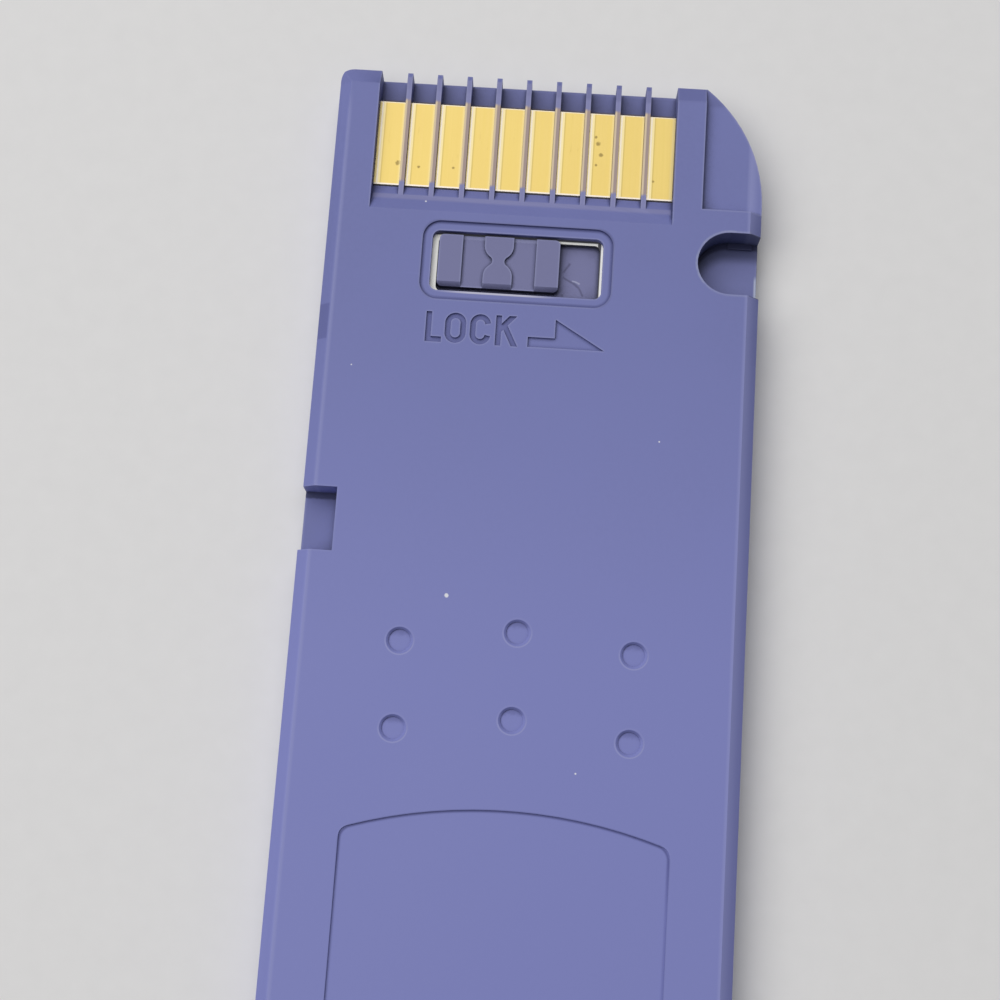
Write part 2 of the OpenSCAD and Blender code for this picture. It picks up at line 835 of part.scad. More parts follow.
chiplet_x = ctrl_x + ctrl_w / 2 + 1.2;
module capacitor_1() { color([0.62, 0.48, 0.33]) chiplet(chiplet_x, ctrl_y + 2.2, 0.8, cap_t); }
module capacitor_2() { color([0.62, 0.48, 0.33]) chiplet(chiplet_x + 1.4, ctrl_y + 2.2, 0.8, cap_t); }
module capacitor_3() { color([0.62, 0.48, 0.33]) chiplet(chiplet_x + 2.8, ctrl_y + 2.2, 0.8, cap_t); }
module resistor_1() { color([0.08, 0.08, 0.09]) chiplet(chiplet_x, ctrl_y - 2.2, 0.8, res_t); }
module resistor_2() { color([0.08, 0.08, 0.09]) chiplet(chiplet_x + 1.4, ctrl_y - 2.2, 0.8, res_t); }
module resonator() {
  color([0.8, 0.78, 0.7])
    slab(board_top, board_top + cap_t)
      translate([chiplet_x - 0.4, ctrl_y - 0.65])
        square([xtal_l, 1.3]);
}

front_cover();
rear_cover();
circuit_board();
contact_01();
contact_02();
contact_03();
contact_04();
contact_05();
contact_06();
contact_07();
contact_08();
contact_09();
contact_10();
switch_liner();
switch_tray();
lock_slider();
lock_wiper();
switch_pad_open();
switch_pad_lock();
switch_pad_common();
memory_chip();
memory_leads();
controller_chip();
controller_leads();
capacitor_1();
capacitor_2();
capacitor_3();
resistor_1();
resistor_2();
resonator();
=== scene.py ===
import math

import bmesh
import bpy
from mathutils import Matrix, Vector


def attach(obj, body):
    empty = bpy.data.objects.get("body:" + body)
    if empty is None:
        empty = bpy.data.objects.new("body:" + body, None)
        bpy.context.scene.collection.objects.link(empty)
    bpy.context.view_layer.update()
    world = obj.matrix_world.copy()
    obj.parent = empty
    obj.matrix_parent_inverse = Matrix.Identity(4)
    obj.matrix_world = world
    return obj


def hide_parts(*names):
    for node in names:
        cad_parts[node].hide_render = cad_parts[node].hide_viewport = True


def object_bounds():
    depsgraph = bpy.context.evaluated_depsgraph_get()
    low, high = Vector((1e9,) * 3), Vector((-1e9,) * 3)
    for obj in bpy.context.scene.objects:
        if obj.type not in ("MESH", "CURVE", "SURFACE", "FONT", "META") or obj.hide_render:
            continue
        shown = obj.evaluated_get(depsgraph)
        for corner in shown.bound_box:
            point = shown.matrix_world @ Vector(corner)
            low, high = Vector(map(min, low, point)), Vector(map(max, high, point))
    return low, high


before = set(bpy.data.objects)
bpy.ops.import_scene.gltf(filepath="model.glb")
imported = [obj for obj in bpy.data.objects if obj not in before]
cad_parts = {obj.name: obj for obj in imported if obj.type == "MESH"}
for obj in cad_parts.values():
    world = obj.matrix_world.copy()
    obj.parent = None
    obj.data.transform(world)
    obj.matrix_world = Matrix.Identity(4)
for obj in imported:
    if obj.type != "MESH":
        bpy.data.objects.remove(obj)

cad_low, cad_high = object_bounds()
MM = 0.001

# Contact-side half shell.
# One thin moulding in matte violet-blue plastic. It carries the contact bay, both notches and the
# switch window, and is welded to the label-side shell along the rim.
FACE_Z = cad_high.z
CEILING_Z = 2.35 * MM
SHELL_ROUND = 0.035 * MM


def moulded_copy(node, name):
    """A merged copy of a moulded piece, ready for its mould radii."""
    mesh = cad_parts[node].data.copy()
    mesh.name = name
    piece = bpy.data.objects.new(name, mesh)
    bpy.context.scene.collection.objects.link(piece)
    bm = bmesh.new()
    bm.from_mesh(mesh)
    bmesh.ops.remove_doubles(bm, verts=bm.verts, dist=0.0004 * MM)
    bmesh.ops.dissolve_limit(bm, angle_limit=math.radians(0.4), verts=bm.verts, edges=bm.edges)
    bm.to_mesh(mesh)
    bm.free()
    return piece


def soften(piece, radius, keep):
    """Rounds the outward edges that keep(middle) accepts; only round surfaces shade smooth."""
    edge_angle, sharp_angle = math.radians(32), math.radians(38)
    least_bend, most_bend, level = 0.01, 0.3, 0.9995
    bm = bmesh.new()
    bm.from_mesh(piece.data)
    edges = []
    for edge in bm.edges:
        if not edge.is_manifold or not edge.is_convex:
            continue
        middle = (edge.verts[0].co + edge.verts[1].co) / 2
        if edge.calc_face_angle() > edge_angle and keep(middle):
            edges.append(edge)
    rounded = bmesh.ops.bevel(bm, geom=edges, offset=radius, offset_type="OFFSET", segments=2,
                              profile=0.5, affect="EDGES", clamp_overlap=True, material=-1)
    for face in bm.faces:
        bends = [e for e in face.edges if e.is_manifold and least_bend < e.calc_face_angle() < most_bend]
        face.smooth = abs(face.normal.z) < level and len(bends) > 1
    for face in rounded["faces"]:
        face.smooth = True
    for edge in bm.edges:
        if edge.is_manifold and edge.calc_face_angle() > sharp_angle:
            edge.smooth = False
    bm.to_mesh(piece.data)
    bm.free()


rear_shell = moulded_copy("rear_cover", "rear_shell")

# Engraved legend.
# The word LOCK and a half arrow that points the way the slider locks. The mould sinks both
# 0.12 mm into the face, with flat floors and upright walls.
LEGEND_DEPTH = 0.12 * MM
CAP_Y, BASE_Y = 12.25 * MM, 10.72 * MM
STROKE = 0.27 * MM
LETTER_L = (((-5.31, 12.4), (-5.31, 10.6)), ((-5.445, 10.855), (-4.66, 10.855)))
LETTER_K = (((-1.89, 12.4), (-1.89, 10.6)), ((-1.86, 11.5), (-1.05, 12.42)),
            ((-1.66, 11.85), (-1.0, 10.55)))
O_MIDDLE, O_HALF = -3.99, 0.51
C_MIDDLE, C_HALF = -2.775, 0.5
HALF_ARROW = ((-0.43, 10.75), (3.3, 10.75), (0.88, 12.2), (0.88, 11.25), (-0.43, 11.25))


def cut(piece, cutter):
    """Takes a cutter's volume out of a piece and deletes the cutter."""
    tool = piece.modifiers.new("cut", "BOOLEAN")
    tool.operation = "DIFFERENCE"
    tool.solver = "EXACT"
    tool.object = cutter
    bpy.context.view_layer.update()
    shape = bpy.data.meshes.new_from_object(piece.evaluated_get(bpy.context.evaluated_depsgraph_get()))
    piece.modifiers.remove(tool)
    old = piece.data
    piece.data = shape
    bpy.data.meshes.remove(old)
    bpy.data.objects.remove(cutter)


def cutter_object(bm):
    """Turns a finished bmesh into a cutter with its faces outwards."""
    bmesh.ops.recalc_face_normals(bm, faces=bm.faces)
    mesh = bpy.data.meshes.new("legend_cutter")
    bm.to_mesh(mesh)
    bm.free()
    piece = bpy.data.objects.new("legend_cutter", mesh)
    bpy.context.scene.collection.objects.link(piece)
    return piece


def bar_cutter(ends):
    """A straight stroke between two points of the face, trimmed at the cap and base lines."""
    a, b = (Vector((x * MM, y * MM, 0)) for x, y in ends)
    bm = bmesh.new()
    bmesh.ops.create_cube(bm, size=1)
    bmesh.ops.scale(bm, vec=((b - a).length, STROKE, 4 * LEGEND_DEPTH), verts=bm.verts)
    bmesh.ops.rotate(bm, matrix=Matrix.Rotation(math.atan2(b.y - a.y, b.x - a.x), 3, "Z"), verts=bm.verts)
    bmesh.ops.translate(bm, vec=(a + b) / 2 + Vector((0, 0, FACE_Z + LEGEND_DEPTH)), verts=bm.verts)
    for y, side in ((CAP_Y, 1), (BASE_Y, -1)):
        cutting = bmesh.ops.bisect_plane(bm, geom=bm.verts[:] + bm.edges[:] + bm.faces[:],
                                         plane_co=(0, y, 0), plane_no=(0, side, 0), clear_outer=True)
        rim = [e for e in cutting["geom_cut"] if isinstance(e, bmesh.types.BMEdge)]
        if rim:
            bmesh.ops.contextual_create(bm, geom=rim)
    return cutter_object(bm)


def ring_cutter(middle_x, half_width, open_side):
    """The letter O, or with an open side the letter C: a tall ring of one stroke's width."""
    middle = Vector((middle_x * MM, (CAP_Y + BASE_Y) / 2, FACE_Z - LEGEND_DEPTH))
    bow = half_width * MM - STROKE / 2
    rise_y = (CAP_Y - BASE_Y) / 2 - STROKE / 2 - bow
    bm = bmesh.new()
    bmesh.ops.create_circle(bm, cap_ends=False, segments=32, radius=bow,
                            matrix=Matrix.Rotation(math.radians(360 / 64), 4, "Z"))
    for vert in bm.verts:
        vert.co.y += math.copysign(rise_y, vert.co.y)
    if open_side:
        gap = [e for e in bm.edges if all(v.co.x > bow * 0.9 for v in e.verts) and e.calc_length() > rise_y]
        bmesh.ops.delete(bm, geom=gap, context="EDGES")
    wall = bmesh.ops.extrude_edge_only(bm, edges=bm.edges)
    raised = [v for v in wall["geom"] if isinstance(v, bmesh.types.BMVert)]
    bmesh.ops.translate(bm, vec=(0, 0, 3 * LEGEND_DEPTH), verts=raised)
    bmesh.ops.translate(bm, vec=middle, verts=bm.verts)
    piece = cutter_object(bm)
    thick = piece.modifiers.new("stroke", "SOLIDIFY")
    thick.thickness = STROKE
    thick.offset = 0
    thick.use_even_offset = True
    bpy.context.view_layer.update()
    solid = bpy.data.meshes.new_from_object(piece.evaluated_get(bpy.context.evaluated_depsgraph_get()))
    piece.modifiers.clear()
    piece.data = solid
    return piece


def arrow_cutter():
    """The half arrow: a short shaft and a one-sided head."""
    bm = bmesh.new()
    face = bm.faces.new([bm.verts.new((x * MM, y * MM, FACE_Z - LEGEND_DEPTH)) for x, y in HALF_ARROW])
    raised = bmesh.ops.extrude_face_region(bm, geom=[face])["geom"]
    bmesh.ops.translate(bm, vec=(0, 0, 3 * LEGEND_DEPTH),
                        verts=[v for v in raised if isinstance(v, bmesh.types.BMVert)])
    return cutter_object(bm)


for ends in LETTER_L + LETTER_K:
    cut(rear_shell, bar_cutter(ends))
cut(rear_shell, ring_cutter(O_MIDDLE, O_HALF, False))
cut(rear_shell, ring_cutter(C_MIDDLE, C_HALF, True))
cut(rear_shell, arrow_cutter())

# Dimples.
# Six round pits in the face, pressed by pins of the mould. Their walls are drawn nearly upright,
# and the middle one of each row stands a little towards the contacts.
DIMPLE_DEPTH = 0.13 * MM
DIMPLE_X, DIMPLE_Y, ROW_STEP, MIDDLE_LEAD = 5.5, -3.95, 4.1, 0.7
FLOOR_RADIUS, DRAWN_RADIUS = 0.42, 0.585
DIMPLES = [(side * DIMPLE_X, DIMPLE_Y - row * ROW_STEP + (MIDDLE_LEAD if side == 0 else 0))
           for row in (0, 1) for side in (-1, 0, 1)]
for vert in rear_shell.data.vertices:
    if abs(vert.co.z - (FACE_Z - DIMPLE_DEPTH)) < 0.002 * MM and vert.co.y < 0:
        middle = Vector(min(DIMPLES, key=lambda p: (vert.co.xy - Vector(p) * MM).length)) * MM
        vert.co.xy = middle + (vert.co.xy - middle) * (DRAWN_RADIUS / FLOOR_RADIUS)
soften(rear_shell, SHELL_ROUND, lambda p: p.z > 1.9 * MM and abs(p.z - CEILING_Z) > 0.02 * MM)

# Violet case plastic.
# Both shells are moulded in it: matte, with a fine spark grain and fine scratches. Its thin outward
# edges are painted pale, partly as rubbed wear and partly as painted highlight, and its corners and hollows
# carry painted shade.


def add(material, kind, inputs=None, **settings):
    """Adds one shader node; an input is a value or another node's output."""
    node = material.node_tree.nodes.new("ShaderNode" + kind)
    for key, value in settings.items():
        setattr(node, key, value)
    for key, value in (inputs or {}).items():
        if isinstance(value, bpy.types.NodeSocket):
            material.node_tree.links.new(value, node.inputs[key])
        else:
            node.inputs[key].default_value = value
    return node


def sums(material, operation, *values):
    """One arithmetic node; returns its output."""
    return add(material, "Math", dict(enumerate(values)), operation=operation).outputs[0]


def both(material, first, *others):
    """Several masks or strengths at once: their product."""
    for other in others:
        first = sums(material, "MULTIPLY", first, other)
    return first


def either(material, first, *others):
    """The strongest of several masks."""
    for other in others:
        first = sums(material, "MAXIMUM", first, other)
    return first


def vectors(material, operation, *values):
    """One vector node; returns the node."""
    return add(material, "VectorMath", dict(enumerate(values)), operation=operation)


def parts(material, vector):
    """The X, Y and Z of a vector."""
    return add(material, "SeparateXYZ", {"Vector": vector}).outputs


def fade(material, value, low, high, start=0.0, end=1.0):
    """A soft step: start below low, end above high."""
    node = add(material, "MapRange", {"Value": value, "From Min": low, "From Max": high,
                                      "To Min": start, "To Max": end}, interpolation_type="SMOOTHSTEP")
    return node.outputs["Result"]


def rise(material, length, low, high, start=0.0, end=1.0):
    """A soft step along a length, between two places in millimetres."""
    return fade(material, length, low * MM, high * MM, start, end)


def near(material, length, middle, inner, outer, strength=1.0):
    """Strength within inner of a middle, 0 beyond outer, all in millimetres."""
    gap = sums(material, "ABSOLUTE", sums(material, "SUBTRACT", length, middle * MM))
    return rise(material, gap, inner, outer, strength, 0.0)


def solid(colour):
    """A colour with its alpha."""
    return colour if isinstance(colour, bpy.types.NodeSocket) else (*colour[:3], 1)


def over(material, tone, colour, mask, strength=1.0):
    """Lays a colour over a tone where the mask is set."""
    node = add(material, "Mix", {"Factor": both(material, mask, strength)}, data_type="RGBA")
    for index, value in ((6, solid(tone)), (7, solid(colour))):
        if isinstance(value, bpy.types.NodeSocket):
            material.node_tree.links.new(value, node.inputs[index])
        else:
            node.inputs[index].default_value = value
    return node.outputs[2]


def new_finish(name, **shader):
    """A material, its shader and the piece's own coordinates in metres."""
    material = bpy.data.materials.new(name)
    material.use_nodes = True
    principled = material.node_tree.nodes["Principled BSDF"]
    for key, value in shader.items():
        principled.inputs[key.replace("_", " ")].default_value = value
    return material, principled, add(material, "TexCoord").outputs["Object"]


def drive(material, shader, socket, value):
    """Feeds one input of the shader."""
    material.node_tree.links.new(value, shader.inputs[socket])


def noise(material, place, scale, detail=3.0, roughness=0.5, stretch=None, turn=0.0):
    """Noise of a given number of features per metre; stretch scales each axis."""
    if stretch:
        place = add(material, "Mapping", {"Vector": place, "Scale": stretch,
                                          "Rotation": (0, 0, turn)}).outputs["Vector"]
    node = add(material, "TexNoise", {"Vector": place, "Scale": scale, "Detail": detail,
                                      "Roughness": roughness})
    return node.outputs["Fac"]


def corners(material, reach, inside=False):
    """How closed in a point is, 0 in the open to 1 in a corner; inside finds thin outward edges."""
    node = add(material, "AmbientOcclusion", {"Distance": reach}, samples=3, inside=inside, only_local=inside)
    return sums(material, "SUBTRACT", 1.0, node.outputs["AO"])


def case_plastic(name, colour, pale, pit_shade, grain=0.25):
    """The moulded plastic in one tone, with painted shade in corners and hollows; the last argument sets how
    dark the painted shade in deep hollows is.
    """
    material, shader, place = new_finish(name, Specular_IOR_Level=0.4)
    cloud = fade(material, noise(material, place, 90, 4, 0.55), 0.3, 0.7)
    speck = fade(material, noise(material, place, 4200, 4, 0.65), 0.35, 0.65)
    tone = over(material, colour, pale, cloud)
    tone = over(material, tone, pale, speck, 0.35)
    lengthwise = fade(material, noise(material, place, 1, 3, 0.6, (190, 5200, 400), 0.5), 0.66, 0.8)
    crosswise = fade(material, noise(material, place, 1, 3, 0.6, (240, 6100, 400), -1.1), 0.69, 0.8)
    where = fade(material, noise(material, place, 170, 2, 0.5), 0.5, 0.68)
    rubbed = both(material, either(material, lengthwise, crosswise), where)
    tone = over(material, tone, tuple(min(1, 1.5 * c) for c in pale), rubbed, 0.22)
    level = parts(material, place)["Z"]
    # Painted shade: corners and creases are darkened, less so near the table.
    corner_shade = fade(material, corners(material, 0.2 * MM), 0.0, 0.32)
    off_table = rise(material, level, 0.3, 0.6, 0.0, 0.6)
    tone = over(material, tone, (0.22 * colour[0], 0.24 * colour[1], 0.34 * colour[2]), corner_shade, off_table)
    # Painted shade: deep hollows below the face are darkened nearly black.
    hollow_shade = fade(material, corners(material, 1.0 * MM), 0.33, 0.58)
    hollow_shade = both(material, hollow_shade, rise(material, level, 0.9, 1.1))
    tone = over(material, tone, (0.005, 0.007, 0.03), hollow_shade, rise(material, level, 2.6, 2.65, pit_shade, 0.0))
    # Pale thin outward edges: partly rubbed wear, partly painted highlight.
    gleam_and_wear = fade(material, corners(material, 0.1 * MM, True), 0.03, 0.35)
    tone = over(material, tone, (0.34, 0.36, 0.60), gleam_and_wear, 0.42)
    height = sums(material, "SUBTRACT", noise(material, place, 11000, 2, 0.65), both(material, rubbed, 0.5))
    bump = add(material, "Bump", {"Height": height, "Strength": grain, "Distance": 0.012 * MM})
    drive(material, shader, "Normal", bump.outputs["Normal"])
    drive(material, shader, "Roughness", sums(material, "ADD", 0.54, both(material, cloud, 0.08)))
    return material, shader, place, tone


def dress(piece, material):
    """Gives a piece its one material."""
    piece.data.materials.clear()
    piece.data.materials.append(material)


# Contact-side shell's finish.
# The face is painted lighter towards the label end as painted light. Painted reflections of the gold tint
# the ribs between the plates, and the sunk and raised details carry painted shade and painted highlights.
PITCH = 1.515
BAY_X, BAY_HALF = -1.2, 7.4
NOTCH_X, NOTCH_Y, NOTCH_RADIUS = 9.25, 15.65, 1.65


def face_gap(material, place, x, y):
    """Distance on the face from a point in millimetres."""
    flat = vectors(material, "MULTIPLY", place, (1, 1, 0)).outputs[0]
    return vectors(material, "DISTANCE", flat, (x * MM, y * MM, 0)).outputs["Value"]


def spot(material, place, x, y, radius, ragged=0.5):
    """A small ragged mark at a point of the face; 1 inside, 0 outside."""
    edge = both(material, noise(material, place, 9000, 2, 0.6), ragged * radius * MM)
    gap = sums(material, "ADD", face_gap(material, place, x, y), edge)
    return rise(material, gap, radius * 0.8, radius * 1.3, 1.0, 0.0)


def spots(material, place, marks):
    """Several small marks, each with its place, radius and raggedness."""
    return either(material, *[spot(material, place, *mark) for mark in marks])


def beyond_notch(material, place, east=0.0, north=0.0):
    """Distance from the round notch's spine to the place moved east and north, in metres."""
    at = parts(material, place)
    left = sums(material, "MAXIMUM", sums(material, "SUBTRACT", (NOTCH_X - east) * MM, at["X"]), 0.0)
    up = sums(material, "SUBTRACT", at["Y"], (NOTCH_Y - north) * MM)
    flat = add(material, "CombineXYZ", {"X": left, "Y": up}).outputs[0]
    return vectors(material, "LENGTH", flat).outputs["Value"]


def painted_end_light(case, at, tone):
    """Painted light: the face is painted paler towards the label end, fading towards the contacts."""
    return over(case, tone, (0.226, 0.247, 0.592), rise(case, at["Y"], -8, 17, 1.0, 0.0), 0.8)


def shaded_legend(case, at, tone):
    """The sunk letters are painted dark as shade; the arrow only faintly."""
    sunk = both(case, rise(case, at["Z"], 2.70, 2.76, 1.0, 0.0), near(case, at["Y"], 11.5, 0.85, 0.95))
    return over(case, tone, (0.09, 0.10, 0.29), sunk, rise(case, at["X"], -0.8, -0.6, 0.5, 0.06))


def ribs_and_nose_painted_light(case, at, tone):
    """Rib tops painted paler, painted shade on the nose, and a painted reflection of the gold on the ribs
    between the plates.
    """
    in_bay = both(case, near(case, at["X"], BAY_X, BAY_HALF, BAY_HALF + 0.08),
                  rise(case, at["Z"], 2.4, 2.5, 1.0, 0.0))
    tone = over(case, tone, (0.30, 0.30, 0.51), both(case, in_bay, rise(case, at["Z"], 2.28, 2.31)), 0.5)
    # Painted shade on the bay's nose.
    nose_shade = both(case, rise(case, at["Y"], 23.95, 24.2), rise(case, at["X"], -2, 2, 0.12, 0.32))
    tone = over(case, tone, (0.085, 0.095, 0.26), nose_shade)
    # Painted reflection of the gold on the ribs between the plates, strongest on their flanks.
    gold_reflection_zone = both(case, in_bay, rise(case, at["Y"], 19.05, 19.25), rise(case, at["Y"], 23.4, 23.6, 1.0, 0.0))
    tone = over(case, tone, (0.45, 0.33, 0.25), gold_reflection_zone, 0.8)
    first_rib, half_top = -7.19, 0.09
    rib = sums(case, "DIVIDE", sums(case, "SUBTRACT", at["X"], (first_rib - PITCH / 2) * MM), PITCH * MM)
    from_rib = both(case, sums(case, "SUBTRACT", sums(case, "FRACT", rib), 0.5), PITCH * MM)
    reflecting_flank = rise(case, sums(case, "ABSOLUTE", from_rib), half_top, half_top + 0.025)
    return over(case, tone, (0.80, 0.66, 0.45), both(case, gold_reflection_zone, reflecting_flank), 0.85)


def field_outline(case, place, at, tone):
    """The step round the arched label field, with painted shade along its foot."""
    half, end, radius, arc_y, arc_radius = 7.6, -23.5, 0.5, -35.23, 23.73
    beside = sums(case, "SUBTRACT", sums(case, "ABSOLUTE", at["X"]), (half - radius) * MM)
    above = sums(case, "SUBTRACT", face_gap(case, place, 0, arc_y), (arc_radius - radius) * MM)
    below = sums(case, "SUBTRACT", (end + radius) * MM, at["Y"])
    past = add(case, "CombineXYZ", {"X": either(case, beside, 0.0), "Y": either(case, above, 0.0),
                                    "Z": either(case, below, 0.0)}).outputs[0]
    line = near(case, vectors(case, "LENGTH", past).outputs["Value"], radius - 0.04, 0.0, 0.12)
    return over(case, tone, (0.06, 0.068, 0.24), line, rise(case, at["Y"], -16, -12.5, 0.3, 0.7))


def gleaming_edges(case, at, tone):
    """Painted highlights along the long edges of the face, and painted shading that takes the right bevel from
    pale to dark.
    """
    across = sums(case, "ABSOLUTE", at["X"])
    gleam = both(case, near(case, across, 10.12, 0.02, 0.17, 0.3), rise(case, at["Y"], 22, 24, 1.0, 0.0))
    bevel_shading = both(case, rise(case, at["X"], 10.15, 10.7, 0.4, 0.0), rise(case, at["X"], 10.1, 10.15))
    return over(case, tone, (0.34, 0.36, 0.66), either(case, gleam, bevel_shading))


def notch_highlight_and_shade(case, place, at, tone):
    """A ragged painted highlight along the round notch's rim, strongest at the upper left, and painted shade
    that makes its wall black.
    """
    gap = beyond_notch(case, place)
    # Painted highlight along the rim.
    rim = both(case, near(case, gap, NOTCH_RADIUS, 0.02, 0.09), rise(case, at["Z"], 2.73, 2.77))
    upper_left = rise(case, sums(case, "SUBTRACT", at["Y"], at["X"]), 5.2, 7.6, 0.3, 0.8)
    ragged_gleam = fade(case, noise(case, place, 2500, 3, 0.6), 0.35, 0.6, 0.3, 1.0)
    tone = over(case, tone, (0.30, 0.33, 0.54), both(case, rim, upper_left, ragged_gleam))
    # Painted shade on the wall.
    wall = both(case, rise(case, gap, NOTCH_RADIUS - 0.03, NOTCH_RADIUS - 0.01, 0.6, 0.0),
                rise(case, at["Z"], 2.7, 2.77, 1.0, 0.0))
    return over(case, tone, (0.008, 0.016, 0.05), wall)


def dimple_shadow_and_ring(case, place, at, tone):
    """A painted shadow crescent under each dimple's upper wall and a painted highlight ring round it."""
    ragged_y = sums(case, "ADD", at["Y"], both(case, noise(case, place, 5000, 3, 0.6), 0.25 * MM))
    for x, y in DIMPLES:
        reach = face_gap(case, place, x, y)
        crescent = both(case, rise(case, reach, 0.6, 0.64, 1.0, 0.0), rise(case, ragged_y, y + 0.26, y + 0.56))
        tone = over(case, tone, (0.085, 0.095, 0.28), crescent, 0.5)
        ring = near(case, reach, 0.68, 0.01, 0.05)
        tone = over(case, tone, (0.45, 0.47, 0.72), ring, rise(case, at["Y"], y - 0.4, y + 0.4, 0.3, 0.08))
    return tone


def window_border(case, place, at, tone):
    """Painted shade: the dark line of the shallow step that runs round the switch window."""
    west, east, south, north, radius = -5.87, 3.44, 12.99, 16.94, 0.75
    middle = ((west + east) / 2 * MM, (south + north) / 2 * MM, 0)
    straight = (((east - west) / 2 - radius) * MM, ((north - south) / 2 - radius) * MM, 0)
    away = vectors(case, "SUBTRACT", vectors(case, "MULTIPLY", place, (1, 1, 0)).outputs[0], middle).outputs[0]
    away = vectors(case, "ABSOLUTE", away).outputs[0]
    away = vectors(case, "MAXIMUM", vectors(case, "SUBTRACT", away, straight).outputs[0], (0, 0, 0)).outputs[0]
    line = near(case, vectors(case, "LENGTH", away).outputs["Value"], radius, 0.0, 0.15)
    return over(case, tone, (0.05, 0.058, 0.20), line, rise(case, at["Y"], 15.5, 17, 0.5, 0.7))


def ledge_highlight(case, at, tone):
    """A painted highlight along the window's lower ledge."""
    ledge = both(case, near(case, at["Y"], 13.35, 0.03, 0.07), near(case, at["X"], -2.1, 1.2, 3.2))
    return over(case, tone, (0.6, 0.6, 0.74), ledge, 0.85)


DUST = ((-3.45, -1.7, 0.12), (-5.95, 18.05, 0.06), (6.2, 6.4, 0.05), (-8.9, 9.3, 0.04), (3.1, -9.6, 0.05),
        (-9.12, 2.85, 0.07))
VIOLET, PALE_VIOLET = (0.160, 0.180, 0.437), (0.180, 0.201, 0.478)
violet, shader, place, tone = case_plastic("violet_case_plastic", VIOLET, PALE_VIOLET, 0.85)
at = parts(violet, place)
tone = painted_end_light(violet, at, tone)
tone = shaded_legend(violet, at, tone)
tone = ribs_and_nose_painted_light(violet, at, tone)
tone = field_outline(violet, place, at, tone)
tone = gleaming_edges(violet, at, tone)
tone = notch_highlight_and_shade(violet, place, at, tone)
tone = dimple_shadow_and_ring(violet, place, at, tone)
tone = window_border(violet, place, at, tone)
tone = ledge_highlight(violet, at, tone)
tone = over(violet, tone, (0.85, 0.86, 0.9), spots(violet, place, DUST), 0.9)
drive(violet, shader, "Base Color", tone)
dress(rear_shell, violet)
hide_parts("rear_cover")
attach(rear_shell, "card")

# Label-side half shell.
# The same plastic with painted shade: its colour is painted one step darker because its rim lies low.
# It is the floor of both notches and the shelf that the ribs stand on.
RIM_Z = 1.2 * MM
SQUARE_Y, SQUARE_HALF = 1.65, 1.7
front_shell = moulded_copy("front_cover", "front_shell")
soften(front_shell, 0.04 * MM, lambda p: abs(p.z - RIM_Z) < 0.02 * MM or p.z < 0.35 * MM)


def shaded_round_floor(case, place, at, tone):
    """The round notch's floor, with painted shadow below its upper wall in a wide and a narrow band."""
    inside = both(case, rise(case, at["X"], 7, 7.2), near(case, at["Y"], NOTCH_Y, 1.9, 2.0))
    wide = rise(case, beyond_notch(case, place, -0.05, 0.8), 1.2, 1.85)
    tone = over(case, tone, (0.022, 0.028, 0.09), both(case, wide, inside), 0.72)
    narrow = rise(case, beyond_notch(case, place, -0.03, 0.3), 1.5, 1.68)
    return over(case, tone, (0.006, 0.009, 0.05), both(case, narrow, inside), 0.85)


def shaded_square_floor(case, place, at, tone):
    """The square notch's floor, with painted shadow below its upper wall and a little at its side."""
    inside = both(case, rise(case, at["X"], -9.0, -8.9, 1.0, 0.0),
                  near(case, at["Y"], SQUARE_Y, SQUARE_HALF, SQUARE_HALF + 0.1))
    ragged_y = sums(case, "ADD", at["Y"], both(case, noise(case, place, 6000, 3, 0.6), 0.12 * MM))
    upper = rise(case, ragged_y, 2.88, 3.0)
    side = rise(case, at["X"], -9.5, -9.1, 0.0, 0.3)
    return over(case, tone, (0.02, 0.024, 0.085), both(case, either(case, upper, side), inside), 0.8)


def lit_notch_mouth(case, place, at, tone):
    """Painted highlight on the open edge of the round notch's floor, with a small painted glint."""
    edge = both(case, rise(case, at["X"], 10.58, 10.68), near(case, at["Y"], 14.8, 0.5, 0.9))
    flare = spot(case, place, 10.5, 14.4, 0.12)
    return over(case, tone, (0.5, 0.56, 0.72), either(case, edge, flare), 0.75)


def shelf_shade_by_plates(case, at, tone):
    """Painted brownish shade on the shelf where the contact plates bend down to it."""
    by_plates = both(case, rise(case, at["Y"], 23.4, 23.5), rise(case, at["Y"], 23.89, 23.98, 0.6, 0.0))
    in_bay = near(case, at["X"], BAY_X, BAY_HALF, BAY_HALF + 0.1)
    return over(case, tone, (0.09, 0.065, 0.04), by_plates, in_bay)


# Painted shade: a darker copy of the violet for the low rim.
SHADED_RIM_VIOLET, PALE_SHADED_RIM_VIOLET = (0.144, 0.160, 0.375), (0.160, 0.178, 0.412)
shaded_violet, shader, place, tone = case_plastic("violet_shaded_rim_plastic", SHADED_RIM_VIOLET, PALE_SHADED_RIM_VIOLET, 0.6)
at = parts(shaded_violet, place)
tone = shaded_round_floor(shaded_violet, place, at, tone)
tone = shaded_square_floor(shaded_violet, place, at, tone)
tone = lit_notch_mouth(shaded_violet, place, at, tone)
tone = shelf_shade_by_plates(shaded_violet, at, tone)
drive(shaded_violet, shader, "Base Color", tone)
dress(front_shell, shaded_violet)
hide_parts("front_cover")
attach(front_shell, "card")

# Contact plates.
# Ten gold-plated strips bent down to the board. Spring contacts have rubbed them lengthwise. Their rims
# carry painted highlights, the first plate a painted reflection of the bay wall, and their front bends painted
# shade.
FIRST_RIM = -8.58
PLATE_TOP_Z = 2.01 * MM
GOLD_STAINS = ((-7.55, 20.2, 0.2, 0.9), (-6.5, 20.05, 0.11, 0.8), (2.45, 21.85, 0.18, 0.9),
               (2.62, 21.25, 0.17, 0.9), (2.32, 22.2, 0.09), (2.4, 20.7, 0.08), (-4.75, 20.1, 0.08),
               (5.3, 20.0, 0.08))


